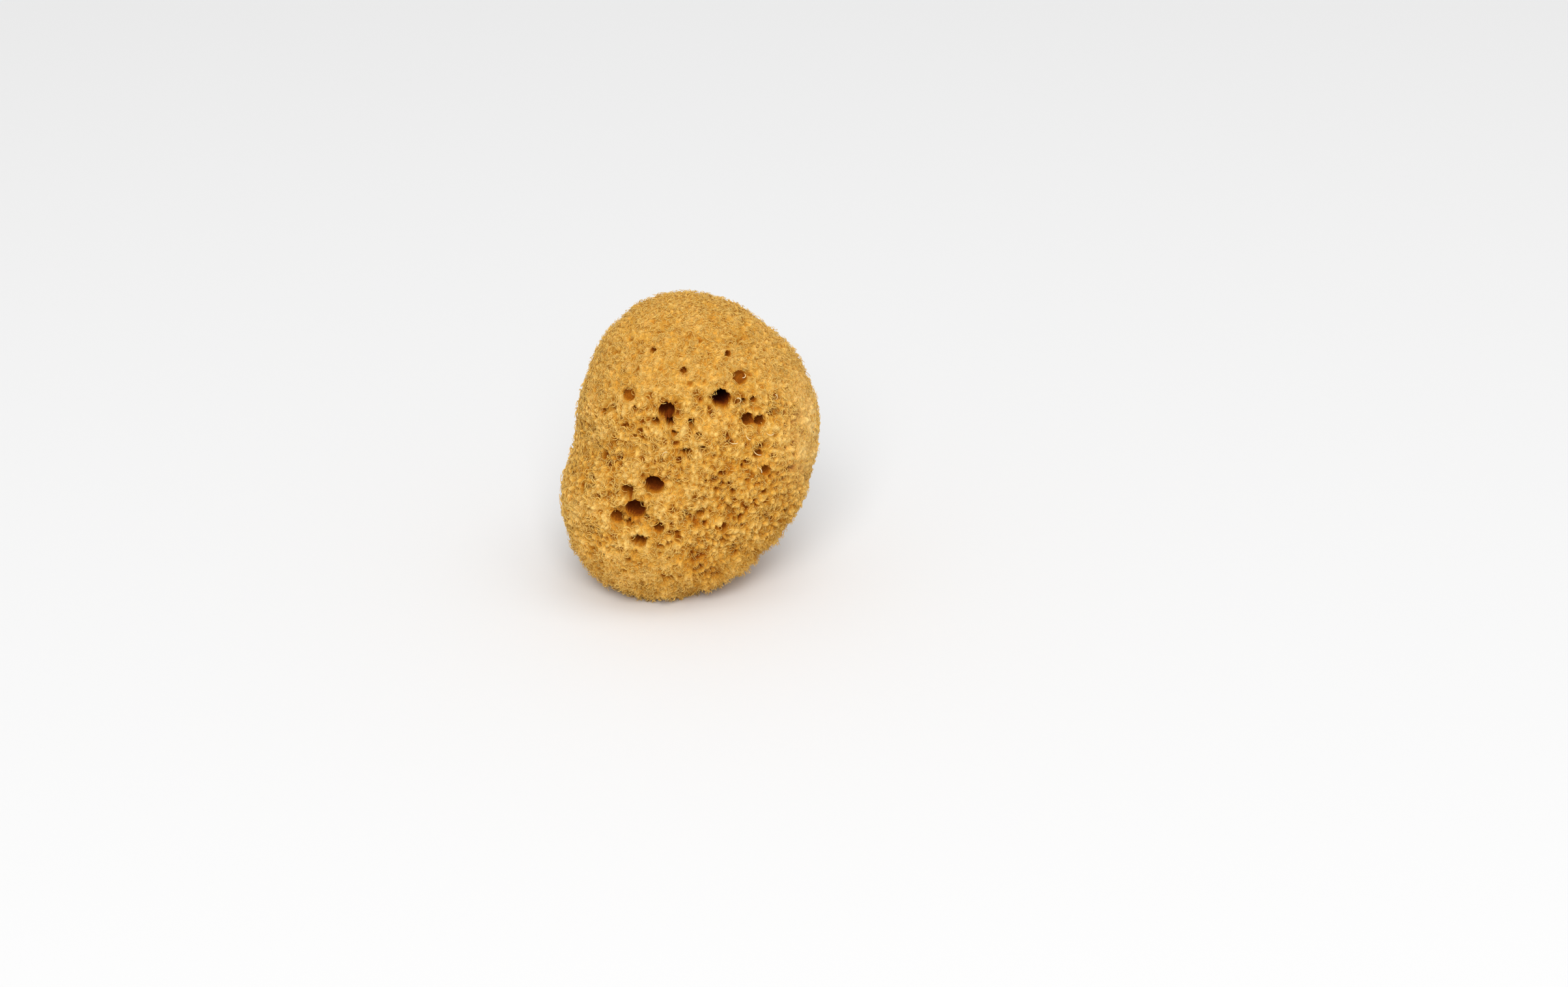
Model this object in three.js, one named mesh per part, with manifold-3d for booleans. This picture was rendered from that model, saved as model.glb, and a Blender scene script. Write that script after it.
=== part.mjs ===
// A small natural silk sponge, dried and trimmed, standing on the flat cut where it left its rock.
// It grew as one piece: two lobes with a waist on the left, pitted by round holes that let water out.
// Millimetres, +Z up. X runs across the broad front face and Y towards the back. The origin is on
// the plane of the cut, below the middle of the body.

import * as THREE from "three";
import { mergeVertices } from "three/addons/utils/BufferGeometryUtils.js";
import Module from "manifold-3d";

const wasm = await Module();
wasm.setup();

// The broad face's outline: its radius from the body's centre every 15 degrees, from +X and
// anticlockwise as seen from the front. The waist is at 165 to 180 degrees.
const OUTLINE_RADII = [
  24.6, 25.9, 26.8, 27.7, 28.1, 29.6, 30.5, 29.9, 28.0, 25.7, 24.1, 22.8, // right, top, left
  23.0, 26.2, 28.6, 30.0, 30.5, 30.0, 28.1, 26.4, 24.8, 24.1, 24.3, 24.1, // left, bottom, right
];
const FRONT_DEPTH = 18.0; // from the body's centre to the middle of the front face
const BACK_DEPTH = 18.5;
const FULLNESS = 2.4; // 2 makes an ellipsoid, and more makes a fuller pillow
const LEAN = THREE.MathUtils.degToRad(15); // the body leans back by this much
const CENTRE = new THREE.Vector3(-0.2, -0.3, 26.2); // of the body, above the base
const CUT_BLOCK = 80; // the block taken off below the base, wide enough for the whole body

// Broad swellings and hollows of the front face. Across and up are their middles, from the body's
// centre along the face, wide and tall are their reach, and height is out of the face.
const FRONT_FORMS = [
  { across: 3, up: 17, wide: 13, tall: 9, height: 0.7 }, // upper lobe
  { across: -12, up: -9.5, wide: 8, tall: 8, height: 0.8 }, // lower left lobe
  { across: -17, up: 2, wide: 10, tall: 3, height: -1.1 }, // furrow that runs in from the waist
  { across: 2, up: 10, wide: 13, tall: 3.5, height: -0.6 }, // dip round the upper holes
  { across: -9, up: -9.3, wide: 4, tall: 7, height: -0.7 }, // dip round the lower holes
  { across: -2.3, up: -5.5, wide: 3.5, tall: 2.2, height: -0.8 }, // hollow beside them
  { across: 1, up: -17.5, wide: 12, tall: 1.6, height: -0.5 }, // crease above the base
];

// Swellings of the whole surface, as waves over the sphere of directions.
const SWELLS = 9;
const SWELL_HEIGHT = 0.35;
const SWELL_WAVES = 5.5; // radians of wave for each unit of direction
const SWELL_VARIETY = 0.35; // how much the waves' lengths differ
const SWELL_SHIFT = 1.7; // radians from one wave's start to the next one's

// The body's mesh: an icosahedron with each edge cut into BODY_DETAIL + 1, stretched to the body's
// proportions so that its triangles come out even. Some of its corners are pushed in as pores,
// with no two side by side.
const BODY_DETAIL = 15;
const BODY_STRETCH = new THREE.Vector3(24, 29, 17);
const SHALLOWEST_PORE = 0.7;
const DEEPEST_PORE = 1.6;

// The round holes of the front face. Across and up are from the body's centre, along the face.
const FRONT_HOLES = [
  { across: 6.9, up: 12.5, radius: 1.75, depth: 9 },
  { across: -3.8, up: 10.2, radius: 1.55, depth: 5 },
  { across: -3.2, up: 8.1, radius: 0.75, depth: 5 },
  { across: -5.9, up: 8.2, radius: 0.75, depth: 2.5 },
  { across: 10.3, up: 16.3, radius: 1.35, depth: 1.8 },
  { across: 12.1, up: 8.5, radius: 1.2, depth: 3.5 },
  { across: 14.4, up: 8.2, radius: 1.1, depth: 3 },
  { across: 0.9, up: 8.2, radius: 0.6, depth: 4 },
  { across: 11.1, up: 11.9, radius: 0.65, depth: 3 },
  { across: 13.1, up: 12.1, radius: 0.6, depth: 2 },
  { across: -11.0, up: 12.7, radius: 1.2, depth: 1.6 },
  { across: -9.9, up: 10.3, radius: 0.5, depth: 3 },
  { across: -14.2, up: 10.5, radius: 0.5, depth: 2.5 },
  { across: -16.5, up: 9.3, radius: 0.55, depth: 2.5 },
  { across: -0.3, up: 2.4, radius: 0.7, depth: 3.5 },
  { across: 3.2, up: 3.0, radius: 0.6, depth: 3.5 },
  { across: 2.4, up: 5.7, radius: 0.5, depth: 3 },
  { across: -2.4, up: 5.9, radius: 0.5, depth: 3 },
  { across: -6.2, up: -4.1, radius: 1.8, depth: 5 },
  { across: -11.3, up: -5.0, radius: 1.15, depth: 2.8 },
  { across: -9.8, up: -8.9, radius: 1.9, depth: 5 },
  { across: -13.2, up: -10.3, radius: 1.3, depth: 3 },
  { across: -10.9, up: -11.7, radius: 0.6, depth: 3 },
  { across: -5.3, up: -12.4, radius: 1.1, depth: 2.8 },
  { across: -9.1, up: -14.8, radius: 1.45, depth: 4 },
  { across: -6.3, up: 21.2, radius: 0.55, depth: 2 },
  { across: -0.5, up: 17.6, radius: 0.6, depth: 1.8 },
  { across: 8.1, up: 20.8, radius: 0.6, depth: 2 },
  { across: 15.2, up: -1.7, radius: 1.1, depth: 2.2 },
  { across: 13.8, up: 1.7, radius: 0.9, depth: 1.8 },
  { across: 8.3, up: -8.7, radius: 0.6, depth: 2.2 },
  { across: 2.7, up: -9.8, radius: 0.75, depth: 1.8 },
];
const HOLE_RISE = 0.3; // how far each hole's axis climbs, inwards, for each unit of its length
const HOLE_PROUD = 1.5; // how far the shape that bores a hole stands out of the surface
const HOLE_FLARE = 1.35; // its radius out there, as a share of the hole's
const LARGE_HOLE = 1; // holes of more than this radius get LARGE_SIDES and a rounded inner end
const LARGE_SIDES = 9;
const LARGE_FLOOR = { radius: 0.6, rise: 0.35 }; // near its inner end, both in the hole's radii
const LARGE_THROAT = 0.5; // radii below the surface, where its bore is as wide as it is stated
const SMALL_SIDES = 5;
const SMALL_WAIST = { radius: 0.7, depth: 0.6 }; // a share of its radius at a share of its depth

// The holes of the back lie in clusters, each a spiral round its middle, and lone small holes are
// spread over the back and the sides.
const BACK_CLUSTERS = [
  { across: 8, up: 9, holes: 8 },
  { across: -9, up: -5, holes: 9 },
  { across: 7, up: -15, holes: 5 },
];
const CLUSTER_SPREAD = 2.7; // from a cluster's middle to its first hole
const CLUSTER_STRETCH = 1.3; // how much taller a cluster is than it is wide
const CLUSTER_RADII = [1.8, 0.6, 1.3, 0.7, 1.6, 0.5, 0.9, 1.2, 0.6];
const LONE_HOLES = 34; // over the whole body, but those of the front are left out
const LONE_RADII = [0.6, 0.9, 0.5, 0.7];
const DEPTH_PER_RADIUS = 3.2;
const FRONT_LIMIT = 0.3; // directions that face forwards by more than this belong to the front
const LOWEST_HOLE = 5; // above the base

const GOLDEN_ANGLE = Math.PI * (3 - Math.sqrt(5)); // the turn between points of an even spiral
const WELD_DISTANCE = 1e-4; // corners nearer than this are one corner

// The radius of the broad face's outline at an angle, by a Catmull-Rom curve through its points.
function outlineRadius(angle) {
  const count = OUTLINE_RADII.length;
  const place = (((angle / (2 * Math.PI)) * count) % count + count) % count;
  const first = Math.floor(place);
  const t = place - first;
  const [a, b, c, d] = [-1, 0, 1, 2].map((k) => OUTLINE_RADII[(first + k + count) % count]);
  const bend = 2 * a - 5 * b + 4 * c - d + t * (3 * (b - c) + d - a);
  return b + 0.5 * t * (c - a + t * bend);
}

// The k-th of count directions that a spiral spreads evenly over the sphere, from +Z to -Z.
function spiralDirection(k, count) {
  const height = 1 - (2 * (k + 0.5)) / count;
  const ring = Math.sqrt(1 - height * height);
  const turn = k * GOLDEN_ANGLE;
  return new THREE.Vector3(ring * Math.cos(turn), ring * Math.sin(turn), height);
}

// The height of the whole surface's swellings in a direction: a sum of waves that run along
// directions of a spiral, so that no two line up.
function swellHeight(direction) {
  let sum = 0;
  for (let k = 0; k < SWELLS; k++) {
    const perUnit = SWELL_WAVES * (1 + SWELL_VARIETY * Math.sin(3 * k));
    sum += Math.sin(perUnit * direction.dot(spiralDirection(k, SWELLS)) + SWELL_SHIFT * k);
  }
  return (SWELL_HEIGHT * sum) / Math.sqrt(SWELLS);
}

// The height of the front face's swellings and hollows at a place on it. It fades out at the sides,
// where facing, the direction's share along the face's normal, falls to 0.
function frontHeight(across, up, facing) {
  let sum = 0;
  for (const form of FRONT_FORMS) {
    const aside = (across - form.across) / form.wide;
    const above = (up - form.up) / form.tall;
    sum += form.height * Math.exp(-aside * aside - above * above);
  }
  return sum * Math.sqrt(Math.max(0, facing));
}

// The body's radius in a direction, in its own axes: x across, y up the face, z out of the face.
function bodyRadius(direction) {
  const inFace = Math.hypot(direction.x, direction.y);
  const share = inFace / outlineRadius(Math.atan2(direction.y, direction.x));
  const through = Math.abs(direction.z) / (direction.z > 0 ? FRONT_DEPTH : BACK_DEPTH);
  const smooth = Math.pow(share ** FULLNESS + through ** FULLNESS, -1 / FULLNESS);
  const form = frontHeight(smooth * direction.x, smooth * direction.y, direction.z);
  return smooth + form + swellHeight(direction);
}

// The unit direction from the body's centre to a place on its front face (side 1) or back (side -1).
function faceDirection(side, across, up) {
  const share = Math.hypot(across, up) / outlineRadius(Math.atan2(up, across));
  const depth = side > 0 ? FRONT_DEPTH : BACK_DEPTH;
  const out = side * depth * Math.pow(1 - share ** FULLNESS, 1 / FULLNESS);
  return new THREE.Vector3(across, up, out).normalize();
}

// The directions and radii of the holes on the back and the sides.
function backHoles() {
  const found = [];
  for (const { across, up, holes } of BACK_CLUSTERS)
    for (let k = 0; k < holes; k++) {
      const away = CLUSTER_SPREAD * Math.sqrt(k);
      const turn = k * GOLDEN_ANGLE;
      const aside = across + away * Math.cos(turn);
      const above = up + CLUSTER_STRETCH * away * Math.sin(turn);
      const direction = faceDirection(-1, aside, above);
      found.push({ direction, radius: CLUSTER_RADII[k % CLUSTER_RADII.length] });
    }
  for (let k = 0; k < LONE_HOLES; k++) {
    const direction = spiralDirection(k, LONE_HOLES);
    if (direction.z < FRONT_LIMIT)
      found.push({ direction, radius: LONE_RADII[k % LONE_RADII.length] });
  }
  return found.filter(({ direction }) => onSurface(direction).z > LOWEST_HOLE);
}

// The outward normal of the body in a direction, from two short steps beside it.
function bodyNormal(direction) {
  const step = 0.05; // in radians
  const apart = Math.abs(direction.z) < 0.7 ? new THREE.Vector3(0, 0, 1) : new THREE.Vector3(1, 0, 0);
  const side = apart.cross(direction).normalize();
  const other = direction.clone().cross(side);
  const at = (across, along) => {
    const near = direction.clone().addScaledVector(side, across).addScaledVector(other, along);
    near.normalize();
    return near.multiplyScalar(bodyRadius(near));
  };
  const first = at(step, 0).sub(at(-step, 0));
  const second = at(0, step).sub(at(0, -step));
  const normal = first.cross(second).normalize();
  return normal.dot(direction) < 0 ? normal.negate() : normal;
}

// Body axes to the part's frame: x stays, y leans back from upright, z points to the front.
const standing = new THREE.Matrix4()
  .makeTranslation(CENTRE.x, CENTRE.y, CENTRE.z)
  .multiply(new THREE.Matrix4().makeRotationX(Math.PI / 2 - LEAN));

// The point of the surface in a direction, in the part's frame, raised out of it by a height.
function onSurface(direction, raised = 0) {
  return direction
    .clone()
    .multiplyScalar(bodyRadius(direction) + raised)
    .applyMatrix4(standing);
}

// A closed geometry with one corner wherever several met.
function welded(geometry) {
  const bare = geometry.clone();
  bare.deleteAttribute("normal");
  bare.deleteAttribute("uv");
  return mergeVertices(bare, WELD_DISTANCE);
}

// A closed geometry as a solid that can be cut.
function solidOf(geometry) {
  const closed = welded(geometry);
  return new wasm.Manifold(
    new wasm.Mesh({
      numProp: 3,
      vertProperties: new Float32Array(closed.attributes.position.array),
      triVerts: new Uint32Array(closed.index.array),
    }),
  );
}

// A solid as a geometry that can be drawn.
function geometryOf(solid) {
  const mesh = solid.getMesh();
  const geometry = new THREE.BufferGeometry();
  geometry.setAttribute("position", new THREE.BufferAttribute(mesh.vertProperties, 3));
  geometry.setIndex(new THREE.BufferAttribute(mesh.triVerts, 1));
  geometry.computeVertexNormals();
  return geometry;
}

// A share from 0 to 1 for each corner of a mesh, with no pattern that the eye can see.
function scattered(i) {
  const wave = Math.sin(12.9898 * (i + 1)) * 43758.5453;
  return wave - Math.floor(wave);
}

// The corners of a mesh that become pores: taken in a scattered order, with none beside another.
function poreCorners(geometry) {
  const corners = geometry.index.array;
  const neighbours = Array.from({ length: geometry.attributes.position.count }, () => new Set());
  for (let i = 0; i < corners.length; i += 3)
    for (const [a, b] of [[0, 1], [1, 2], [2, 0]]) {
      neighbours[corners[i + a]].add(corners[i + b]);
      neighbours[corners[i + b]].add(corners[i + a]);
    }
  const order = neighbours.map((_, i) => i).sort((a, b) => scattered(a) - scattered(b));
  const pores = new Set();
  for (const i of order) if (![...neighbours[i]].some((j) => pores.has(j))) pores.add(i);
  return pores;
}

// The whole body with its pores, before its holes are bored and its base is cut.
function bodySolid() {
  const geometry = welded(new THREE.IcosahedronGeometry(1, BODY_DETAIL));
  const points = geometry.attributes.position;
  const pores = poreCorners(geometry);
  const direction = new THREE.Vector3();
  for (let i = 0; i < points.count; i++) {
    direction.fromBufferAttribute(points, i).multiply(BODY_STRETCH).normalize();
    const share = scattered(points.count + i);
    const depth = THREE.MathUtils.lerp(SHALLOWEST_PORE, DEEPEST_PORE, share);
    const point = onSurface(direction, pores.has(i) ? -depth : 0);
    points.setXYZ(i, point.x, point.y, point.z);
  }
  return solidOf(geometry);
}

// One hole's space: a bore that narrows inwards and flares at its mouth, rounder where it is large.
function holeSolid(direction, radius, depth) {
  const large = radius > LARGE_HOLE;
  const profile = [new THREE.Vector2(0, -depth)];
  if (large) {
    profile.push(new THREE.Vector2(LARGE_FLOOR.radius * radius, LARGE_FLOOR.rise * radius - depth));
    profile.push(new THREE.Vector2(radius, -LARGE_THROAT * radius));
  } else {
    profile.push(new THREE.Vector2(SMALL_WAIST.radius * radius, -SMALL_WAIST.depth * depth));
  }
  profile.push(new THREE.Vector2(HOLE_FLARE * radius, HOLE_PROUD));
  profile.push(new THREE.Vector2(0, HOLE_PROUD));
  const place = direction.clone().multiplyScalar(bodyRadius(direction));
  const axis = bodyNormal(direction);
  axis.y -= HOLE_RISE;
  axis.normalize();
  const turn = new THREE.Quaternion().setFromUnitVectors(new THREE.Vector3(0, 1, 0), axis);
  const geometry = new THREE.LatheGeometry(profile, large ? LARGE_SIDES : SMALL_SIDES);
  geometry.applyQuaternion(turn);
  geometry.translate(place.x, place.y, place.z);
  geometry.applyMatrix4(standing);
  return solidOf(geometry);
}

// The spaces of all the holes together.
function allHoles() {
  const front = FRONT_HOLES.map((hole) =>
    holeSolid(faceDirection(1, hole.across, hole.up), hole.radius, hole.depth),
  );
  const back = backHoles().map(({ direction, radius }) =>
    holeSolid(direction, radius, radius * DEPTH_PER_RADIUS),
  );
  return [...front, ...back].reduce((sum, hole) => sum.add(hole));
}

// The block below the base plane, which cuts the body off flat.
function belowBase() {
  const geometry = new THREE.BoxGeometry(CUT_BLOCK, CUT_BLOCK, CUT_BLOCK);
  geometry.translate(0, 0, -CUT_BLOCK / 2);
  return solidOf(geometry);
}

// The finished sponge, in the golden tan of its fibre.
function spongeMesh() {
  const solid = bodySolid().subtract(allHoles()).subtract(belowBase());
  const spongin = new THREE.MeshStandardMaterial({
    color: 0xd09a48,
    roughness: 0.95,
    metalness: 0,
  });
  const mesh = new THREE.Mesh(geometryOf(solid), spongin);
  mesh.name = "sponge";
  return mesh;
}

const object = new THREE.Group();
object.add(spongeMesh());

export default object;
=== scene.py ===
"""The looks of a small natural silk sponge: its porous skin, the curls of fibre that lie on it, the
dry, matte, golden spongin that both are made of, and a few scraps of weed caught in it.

Lengths are in millimetres until a mesh is made. Body axes are x across the broad face, y up the face
and z out of it, from the body's centre; part axes are the frame's."""

import itertools
import math

import bpy
import numpy as np
from mathutils import Matrix, Vector


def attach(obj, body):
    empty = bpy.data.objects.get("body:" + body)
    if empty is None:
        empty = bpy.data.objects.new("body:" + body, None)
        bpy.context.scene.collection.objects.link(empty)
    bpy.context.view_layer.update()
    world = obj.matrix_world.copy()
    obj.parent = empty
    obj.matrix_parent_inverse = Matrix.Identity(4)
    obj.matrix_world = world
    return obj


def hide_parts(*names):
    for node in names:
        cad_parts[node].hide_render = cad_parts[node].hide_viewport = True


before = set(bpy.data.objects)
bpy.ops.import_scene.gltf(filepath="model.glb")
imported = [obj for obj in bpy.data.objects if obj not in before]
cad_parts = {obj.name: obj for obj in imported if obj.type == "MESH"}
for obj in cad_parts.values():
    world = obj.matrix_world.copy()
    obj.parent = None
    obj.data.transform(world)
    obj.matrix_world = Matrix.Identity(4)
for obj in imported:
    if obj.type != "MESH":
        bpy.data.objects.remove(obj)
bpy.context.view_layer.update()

MM = 0.001  # metres

# The body, with the same values as its solid.
OUTLINE_RADII = np.array([
    24.6, 25.9, 26.8, 27.7, 28.1, 29.6, 30.5, 29.9, 28.0, 25.7, 24.1, 22.8,
    23.0, 26.2, 28.6, 30.0, 30.5, 30.0, 28.1, 26.4, 24.8, 24.1, 24.3, 24.1,
])
FRONT_DEPTH = 18.0
BACK_DEPTH = 18.5
FULLNESS = 2.4
LEAN = math.radians(15)
CENTRE = np.array([-0.2, -0.3, 26.2])
BODY_STRETCH = np.array([24, 29, 17])
FRONT_FORMS = [  # across, up, wide, tall, height
    (3, 17, 13, 9, 0.7),
    (-12, -9.5, 8, 8, 0.8),
    (-17, 2, 10, 3, -1.1),
    (2, 10, 13, 3.5, -0.6),
    (-9, -9.3, 4, 7, -0.7),
    (-2.3, -5.5, 3.5, 2.2, -0.8),
    (1, -17.5, 12, 1.6, -0.5),
]
SWELLS = 9
SWELL_HEIGHT = 0.35
SWELL_WAVES = 5.5
SWELL_VARIETY = 0.35
SWELL_SHIFT = 1.7
GOLDEN_ANGLE = math.pi * (3 - math.sqrt(5))

# The round holes of the front face: across, up, radius and depth.
FRONT_HOLES = [
    (6.9, 12.5, 1.75, 9),
    (-3.8, 10.2, 1.55, 5),
    (-3.2, 8.1, 0.75, 5),
    (-5.9, 8.2, 0.75, 2.5),
    (10.3, 16.3, 1.35, 1.8),
    (12.1, 8.5, 1.2, 3.5),
    (14.4, 8.2, 1.1, 3),
    (0.9, 8.2, 0.6, 4),
    (11.1, 11.9, 0.65, 3),
    (13.1, 12.1, 0.6, 2),
    (-11.0, 12.7, 1.2, 1.6),
    (-9.9, 10.3, 0.5, 3),
    (-14.2, 10.5, 0.5, 2.5),
    (-16.5, 9.3, 0.55, 2.5),
    (-0.3, 2.4, 0.7, 3.5),
    (3.2, 3.0, 0.6, 3.5),
    (2.4, 5.7, 0.5, 3),
    (-2.4, 5.9, 0.5, 3),
    (-6.2, -4.1, 1.8, 5),
    (-11.3, -5.0, 1.15, 2.8),
    (-9.8, -8.9, 1.9, 5),
    (-13.2, -10.3, 1.3, 3),
    (-10.9, -11.7, 0.6, 3),
    (-5.3, -12.4, 1.1, 2.8),
    (-9.1, -14.8, 1.45, 4),
    (-6.3, 21.2, 0.55, 2),
    (-0.5, 17.6, 0.6, 1.8),
    (8.1, 20.8, 0.6, 2),
    (15.2, -1.7, 1.1, 2.2),
    (13.8, 1.7, 0.9, 1.8),
    (8.3, -8.7, 0.6, 2.2),
    (2.7, -9.8, 0.75, 1.8),
]
HOLE_RISE = 0.3

# The holes of the back, in clusters (across, up, holes), and the lone ones.
BACK_CLUSTERS = [(8, 9, 8), (-9, -5, 9), (7, -15, 5)]
CLUSTER_SPREAD = 2.7
CLUSTER_STRETCH = 1.3
CLUSTER_RADII = [1.8, 0.6, 1.3, 0.7, 1.6, 0.5, 0.9, 1.2, 0.6]
LONE_HOLES = 34
LONE_RADII = [0.6, 0.9, 0.5, 0.7]
DEPTH_PER_RADIUS = 3.2
FRONT_LIMIT = 0.3
LOWEST_HOLE = 5

# The skin's relief, worked inwards from the body's surface.
SKIN_CUTS = 128  # quads along each of a cube's edges: 12 times its square is the triangles
TUFT_SPACING = 1.3  # one tuft to a cube of this size, which puts them about 1.3 mm apart
SMALL_TUFT_SPACING = 0.75
TUFT_TOP = 0.1  # depth of the tufts' tops
TUFT_HEIGHT = 1.35
TUFT_SHARE, CREST_SHARE, SMALL_TUFT_SHARE = 0.65, 0.15, 0.2  # of that height
PORE_SPACING = 2.0
PORE_RADIUS = 0.52
PORE_DEPTH = 1.0
DIMPLE_SPACING = 4.6
DIMPLE_RADIUS = 1.3
DIMPLE_DEPTH = 0.6
SWELLING_SIZE = 2.3
SWELLING_HEIGHT = 0.3
RIB_SPACING = 1.9
BASE_PORE_DEPTH = 1.6
DARKEST_DEPTH = 1.9  # painted shade: the colour darkens from the tufts' to the gaps' over this depth

# Where the skin's regions start and are full, from the body's centre across and up the face.
DOME_UP = (9, 16)
KNOBBED_ACROSS = (-5, 5)
KNOBBED_UP = (5, -3)
RIBBED_PATCH = (18, 0, 5, 8)  # across, up, wide, tall
FUZZY_UP = (-14, -19)
STREAKED_ACROSS = (-16, -20)
# The pale right side has softer relief and shorter fibres, and a painted sheen in its colour.
STREAKED_UP = (-3, 4)
PALE_ACROSS = (16, 26)
PALE_UP = 6
PALE_REACH = (20, 6)  # above and below that height
WANDER = 1.5  # how far the regions' edges wander
WANDER_SIZE = 6

# How a hole's bore is shaped, as shares of its rim's radius.
RIM_SWELL = 1.1  # the rim's radius as a share of the hole's, before RIM_EXTRA
RIM_EXTRA = 0.12
RAGGED = 0.28  # how much the rim's radius varies
FLOOR_SHARE = 0.45  # the bore's floor begins inside this share
THROAT_NARROWING = 0.3
LIP_DROP = 0.5  # the skin round a hole is lower by this

# The fibres: how many pieces, how many in each, their rings of points, length, width and rise.
FIBRE_PIECES = 5
FIBRES = 7100
FIBRE_RINGS = 5
FIBRE_LENGTH = 2.4
FIBRE_WIDTH = 0.12
FIBRE_RISE = 0.31
ROOT_DEPTH = 0.1
BLUNT = 0.93  # a fibre's last ring is this far along it, so that its end is blunt
COMBED = 1.0  # how strongly the fibres of the ribbed, fuzzy and streaked regions run one way
TRIMMED_SHARE = 0.93  # of the fibres that would hang over a hole or a pore
RIM_REACH = 0.7  # how far from a hole its rim reaches, where the fibres are shorter

# Thicker pale hooks of fibre on the front: across, up, length, and the angles in degrees of their
# start and of how far they turn.
HOOKS = [
    (9.8, 11.9, 2.0, -10, 230),
    (10.9, 17.1, 1.5, -50, -150),
    (12.8, 2.9, 2.0, -80, 95),
    (8.2, 4.6, 1.7, -35, 60),
    (13.5, -0.5, 1.4, -20, -80),
    (15.3, 6.1, 1.7, -70, 120),
    (11.5, 6.0, 1.5, -100, 90),
    (-4.6, 1.9, 1.6, 100, -120),
    (17.0, 12.0, 1.4, 30, 150),
]
HOOK_WIDTH = 0.2
HOOK_RISE = 0.45
HOOK_RINGS = 10

# Scraps of dried weed caught on the front: across, up, length, width, and angle in degrees.
FLECKS = [
    (9.5, 27.4, 0.75, 0.2, 75),
    (8.0, 27.6, 0.6, 0.12, 110),
    (23.3, 4.9, 0.4, 0.3, 20),
    (20.5, -6.2, 0.5, 0.25, 85),
]
FLECK_HEIGHT = 0.12
FLECK_RISE = 0.5  # above the body, so that they lie on the fibres


# The body's surface.

def outline_radius(angle):
    """The broad face's outline: a Catmull-Rom curve through its radii, one every 15 degrees."""
    count = len(OUTLINE_RADII)
    place = np.mod(angle / (2 * math.pi) * count, count)
    first = np.floor(place).astype(int)
    t = place - first
    a, b, c, d = (OUTLINE_RADII[(first + k) % count] for k in (-1, 0, 1, 2))
    bend = 2 * a - 5 * b + 4 * c - d + t * (3 * (b - c) + d - a)
    return b + 0.5 * t * (c - a + t * bend)


def unit(vectors):
    """The vectors made one long."""
    return vectors / np.linalg.norm(vectors, axis=-1, keepdims=True)


def spiral_directions(count):
    """Directions that a spiral spreads evenly over the sphere, from +Z to -Z."""
    k = np.arange(count)
    height = 1 - (2 * k + 1) / count
    ring = np.sqrt(1 - height**2)
    turn = k * GOLDEN_ANGLE
    return np.stack([ring * np.cos(turn), ring * np.sin(turn), height], axis=1)


def body_radius(direction):
    """The surface's distance from the body's centre: a pillow, 1 / r^p = (in the face / outline)^p
    + (through / depth)^p, plus the front's forms and waves along directions of a spiral."""
    x, y, z = direction.T
    share = np.hypot(x, y) / outline_radius(np.arctan2(y, x))
    through = np.abs(z) / np.where(z > 0, FRONT_DEPTH, BACK_DEPTH)
    smooth = (share**FULLNESS + through**FULLNESS) ** (-1 / FULLNESS)
    forms = sum(
        height * np.exp(-(((smooth * x - across) / wide) ** 2) - ((smooth * y - up) / tall) ** 2)
        for across, up, wide, tall, height in FRONT_FORMS
    )
    k = np.arange(SWELLS)
    per_unit = SWELL_WAVES * (1 + SWELL_VARIETY * np.sin(3 * k))
    waves = np.sin(per_unit * (direction @ spiral_directions(SWELLS).T) + SWELL_SHIFT * k)
    swell = SWELL_HEIGHT * waves.sum(axis=1) / math.sqrt(SWELLS)
    return smooth + forms * np.sqrt(np.clip(z, 0, None)) + swell


def to_part(points):
    """Body axes turned and moved to the part's: y leans back from upright and z points to the front."""
    turn = math.pi / 2 - LEAN
    c, s = math.cos(turn), math.sin(turn)
    x, y, z = points.T
    return np.stack([x, c * y - s * z, s * y + c * z], axis=1) + CENTRE


def turned_to_part(vectors):
    """The same turn without the move, for directions."""
    return to_part(vectors) - CENTRE


def turned_to_body(vectors):
    """The turn back, from part axes to body axes."""
    turn = math.pi / 2 - LEAN
    c, s = math.cos(turn), math.sin(turn)
    x, y, z = vectors.T
    return np.stack([x, c * y + s * z, c * z - s * y], axis=1)


def face_direction(side, across, up):
    """The direction to a place on the front (side 1) or the back (side -1)."""
    share = math.hypot(across, up) / outline_radius(np.array(math.atan2(up, across)))
    depth = FRONT_DEPTH if side > 0 else BACK_DEPTH
    out = side * depth * (1 - share**FULLNESS) ** (1 / FULLNESS)
    return unit(np.array([across, up, float(out)]))


def smoothstep(low, high, values):
    """0 up to low, 1 from high and an S-shaped rise between, or a fall where low is the higher."""
    t = np.clip((values - low) / (high - low), 0, 1)
    return t * t * (3 - 2 * t)


def hashed(cells, seed):
    """Three shares from 0 to 1 for each cell, scattered by the fraction of a large sine."""
    mix = np.array([[12.9898, 78.233, 37.719], [39.346, 11.135, 83.155], [73.156, 52.235, 9.151]])
    wave = np.sin(cells @ mix.T + seed) * 43758.5453
    return wave - np.floor(wave)


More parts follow.
